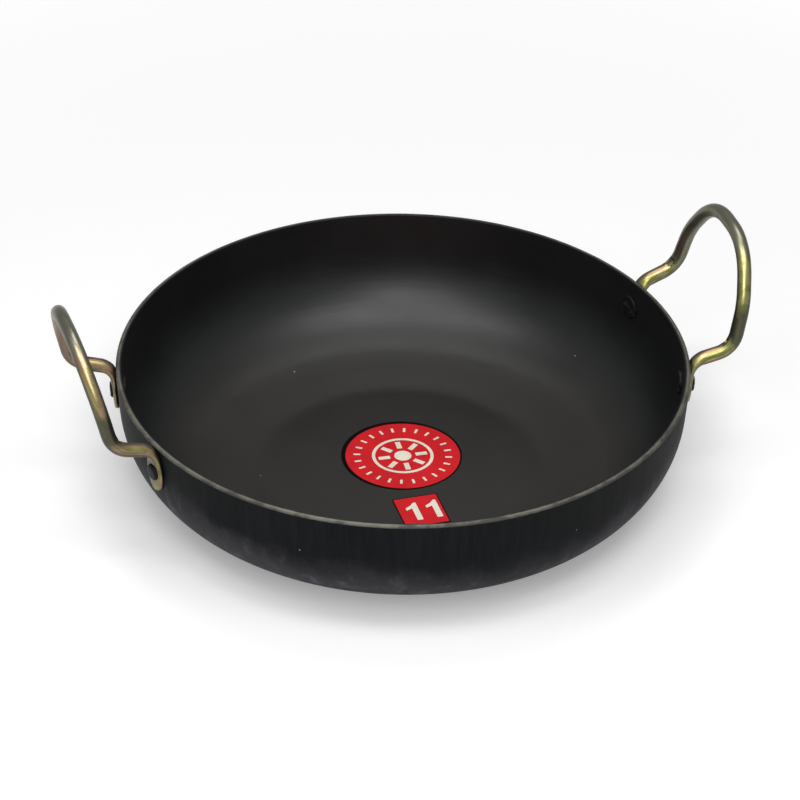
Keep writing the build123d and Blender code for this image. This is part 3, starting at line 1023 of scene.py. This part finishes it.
def build_size_sticker(bowl, stickers, finish):
    """Small oblong sticker with the plain size number"""
    floor = bowl.sheet
    half_w = stickers.plate_width / 2
    half_h = stickers.plate_height / 2
    edge = stickers.border
    box = [(-half_w, -half_h), (half_w, -half_h), (half_w, half_h), (-half_w, half_h)]
    inner = [(x - edge if x > 0 else x + edge, y - edge if y > 0 else y + edge) for x, y in box]
    backing = plate("backing", box, floor, stickers.thickness * 0.6)
    give(backing, bpy.data.materials["film_black"])
    red = plate("red", inner, floor, stickers.thickness * 0.85)
    give(red, bpy.data.materials["film_red"])
    print_low = floor + stickers.thickness * 0.8
    digits = []
    tall = stickers.digit_height
    stem = tall * 0.20
    one = [(stem / 2, -tall / 2), (stem / 2, tall / 2), (stem * 0.05, tall / 2), (-stem * 0.55, tall * 0.36),
           (-stem * 1.55, tall * 0.24), (-stem * 1.55, tall * 0.11), (-stem * 0.5, tall * 0.19), (-stem / 2, -tall / 2)]
    for number in range(len(stickers.number)):
        digit = plate("digit", one, print_low, stickers.thickness * 0.2)
        shift = (number - (len(stickers.number) - 1) / 2) * stickers.digit_pitch + stem * 0.9
        place(digit, Matrix.Translation((shift, 0, 0)))
        give(digit, bpy.data.materials["film_cream"])
        digits.append(digit)
    piece = joined([backing, red, *digits], "kadai_size_sticker")
    turn_matrix = Matrix.Rotation(stickers.plate_turn, 4, "Z")
    place(piece, Matrix.Translation((stickers.plate_x, stickers.plate_y, 0)) @ turn_matrix)
    hand_over(piece, "sticker_red", "size_sticker")


def looked_at(tree, stage):
    """Share of what is only looked at: all of it straight or through something, less in a reflection"""
    path = add(tree, "ShaderNodeLightPath")
    straight = calc(tree, "MAXIMUM", path.outputs["Is Camera Ray"], path.outputs["Is Transmission Ray"])
    mirrored = calc(tree, "MULTIPLY", path.outputs["Is Glossy Ray"], stage.mirrored_share)
    return calc(tree, "MAXIMUM", straight, mirrored)


def build_floor(stage):
    start_clean()
    bpy.ops.mesh.primitive_plane_add(size=stage.floor_size, location=(0, 0, 0))
    floor = named("stage_floor")
    made, tree, shader, spot = material("pale_floor")
    shader.inputs["Base Color"].default_value = (*stage.floor_colour, 1)
    shader.inputs["Roughness"].default_value = 0.9
    shader.inputs["Specular IOR Level"].default_value = 0.0
    shader.inputs["Emission Color"].default_value = (1, 1, 1, 1)
    away = add(tree, "ShaderNodeVectorMath", {0: spot}, operation="LENGTH").outputs["Value"]
    glow = calc(tree, "MULTIPLY", looked_at(tree, stage), ramp(tree, away, 0.3, 1.2, stage.floor_glow, stage.far_glow))
    tree.links.new(glow, shader.inputs["Emission Strength"])
    give(floor, made)


def build_world(stage):
    """White where it is looked at, and weak as a light"""
    world = bpy.data.worlds.new("studio")
    world.use_nodes = True
    tree = world.node_tree
    sky = tree.nodes["Background"]
    sky.inputs["Color"].default_value = (1, 1, 1, 1)
    strength = ramp(tree, looked_at(tree, stage), 0.0, 1.0, stage.world_light, 1.0)
    tree.links.new(strength, sky.inputs["Strength"])
    bpy.context.scene.world = world


def build_lamps(stage):
    """Square softboxes in front, on either side and behind, all looking at the kadai"""
    front, spread, high = stage.lamp_azimuth, stage.lamp_spread, stage.high_lamps
    add_lamp("front_lamp", stage, stage.front_power, toward(front, stage.low_lamp))
    add_lamp("left_lamp", stage, stage.left_power, toward(front - spread, high))
    add_lamp("right_lamp", stage, stage.right_power, toward(front + spread, high))
    add_lamp("back_lamp", stage, stage.back_power, toward(front + pi, high))


def add_lamp(name, stage, power, outward):
    data = bpy.data.lights.new(name, "AREA")
    data.shape = "SQUARE"
    data.size = stage.lamp_size
    data.energy = power
    lamp = bpy.data.objects.new(name, data)
    bpy.context.scene.collection.objects.link(lamp)
    lamp.location = outward * stage.lamp_distance
    lamp.rotation_mode = "QUATERNION"
    lamp.rotation_quaternion = (-outward).to_track_quat("-Z", "Y")


def toward(azimuth, elevation):
    """Direction from the kadai to what stands round it; azimuth 0 is at the front"""
    return Vector((sin(azimuth) * cos(elevation), -cos(azimuth) * cos(elevation), sin(elevation)))


def build_camera(bowl, stage):
    back = toward(stage.azimuth, stage.elevation)
    middle = Vector((0, 0, bowl.height))
    right = (-back).cross(Vector((0, 0, 1))).normalized()
    spot = middle + back * stage.distance
    aim = middle + right * stage.aim_right + right.cross(-back) * stage.aim_up
    ahead = (aim - spot).normalized()
    right = ahead.cross(Vector((0, 0, 1))).normalized()
    axes = Matrix((right, right.cross(ahead), -ahead)).transposed() @ Matrix.Rotation(stage.roll, 3, "Z")
    data = bpy.data.cameras.new("camera")
    data.sensor_width = 36
    data.lens = stage.lens
    camera = bpy.data.objects.new("camera", data)
    bpy.context.scene.collection.objects.link(camera)
    camera.matrix_world = Matrix.Translation(spot) @ axes.to_4x4()
    bpy.context.scene.camera = camera


# Operators

class KADAI_OT_bowl(bpy.types.Operator):
    """Build the pressed black bowl"""
    bl_idname = "kadai.bowl"
    bl_label = "Bowl"

    def execute(self, context):
        scene = context.scene
        build_bowl(scene.kadai_bowl, scene.kadai_handle, scene.kadai_rivet, scene.kadai_finish)
        return {"FINISHED"}


class KADAI_OT_handles(bpy.types.Operator):
    """Build the two bent rod handles"""
    bl_idname = "kadai.handles"
    bl_label = "Handles"

    def execute(self, context):
        scene = context.scene
        build_handles(scene.kadai_bowl, scene.kadai_handle, scene.kadai_rivet, scene.kadai_finish)
        return {"FINISHED"}


class KADAI_OT_rivets(bpy.types.Operator):
    """Build the four rivets"""
    bl_idname = "kadai.rivets"
    bl_label = "Rivets"

    def execute(self, context):
        scene = context.scene
        build_rivets(scene.kadai_bowl, scene.kadai_handle, scene.kadai_rivet, scene.kadai_finish)
        return {"FINISHED"}


class KADAI_OT_stickers(bpy.types.Operator):
    """Build the round sticker and the size sticker"""
    bl_idname = "kadai.stickers"
    bl_label = "Stickers"

    def execute(self, context):
        scene = context.scene
        build_round_sticker(scene.kadai_bowl, scene.kadai_stickers, scene.kadai_finish)
        build_size_sticker(scene.kadai_bowl, scene.kadai_stickers, scene.kadai_finish)
        return {"FINISHED"}


class KADAI_OT_stage(bpy.types.Operator):
    """Build the floor, the lamps, the world and the camera"""
    bl_idname = "kadai.stage"
    bl_label = "Stage"

    def execute(self, context):
        stage = context.scene.kadai_stage
        build_floor(stage)
        build_world(stage)
        build_lamps(stage)
        build_camera(context.scene.kadai_bowl, stage)
        context.scene.view_settings.view_transform = "Standard"
        return {"FINISHED"}


GROUPS = {
    "kadai_bowl": KadaiBowl,
    "kadai_handle": KadaiHandle,
    "kadai_rivet": KadaiRivet,
    "kadai_stickers": KadaiStickers,
    "kadai_finish": KadaiFinish,
    "kadai_stage": KadaiStage,
}
OPERATORS = (KADAI_OT_bowl, KADAI_OT_handles, KADAI_OT_rivets, KADAI_OT_stickers, KADAI_OT_stage)


class KADAI_PT_panel(bpy.types.Panel):
    bl_label = "Kadai"
    bl_idname = "KADAI_PT_panel"
    bl_space_type = "VIEW_3D"
    bl_region_type = "UI"
    bl_category = "Kadai"

    def draw(self, context):
        for operator in OPERATORS:
            self.layout.operator(operator.bl_idname)
        for name, settings in GROUPS.items():
            box = self.layout.box()
            box.label(text=settings.__name__)
            for key in settings.__annotations__:
                box.prop(getattr(context.scene, name), key)


CLASSES = (*GROUPS.values(), *OPERATORS, KADAI_PT_panel)


def register():
    for item in CLASSES:
        bpy.utils.register_class(item)
    for name, settings in GROUPS.items():
        setattr(bpy.types.Scene, name, PointerProperty(type=settings))


def unregister():
    for name in GROUPS:
        delattr(bpy.types.Scene, name)
    for item in reversed(CLASSES):
        bpy.utils.unregister_class(item)


def main():
    register()
    make_grain_group()
    make_speck_group()
    bpy.ops.kadai.bowl()
    bpy.ops.kadai.handles()
    bpy.ops.kadai.rivets()
    bpy.ops.kadai.stickers()
    bpy.ops.kadai.stage()


if __name__ == "__main__":
    main()
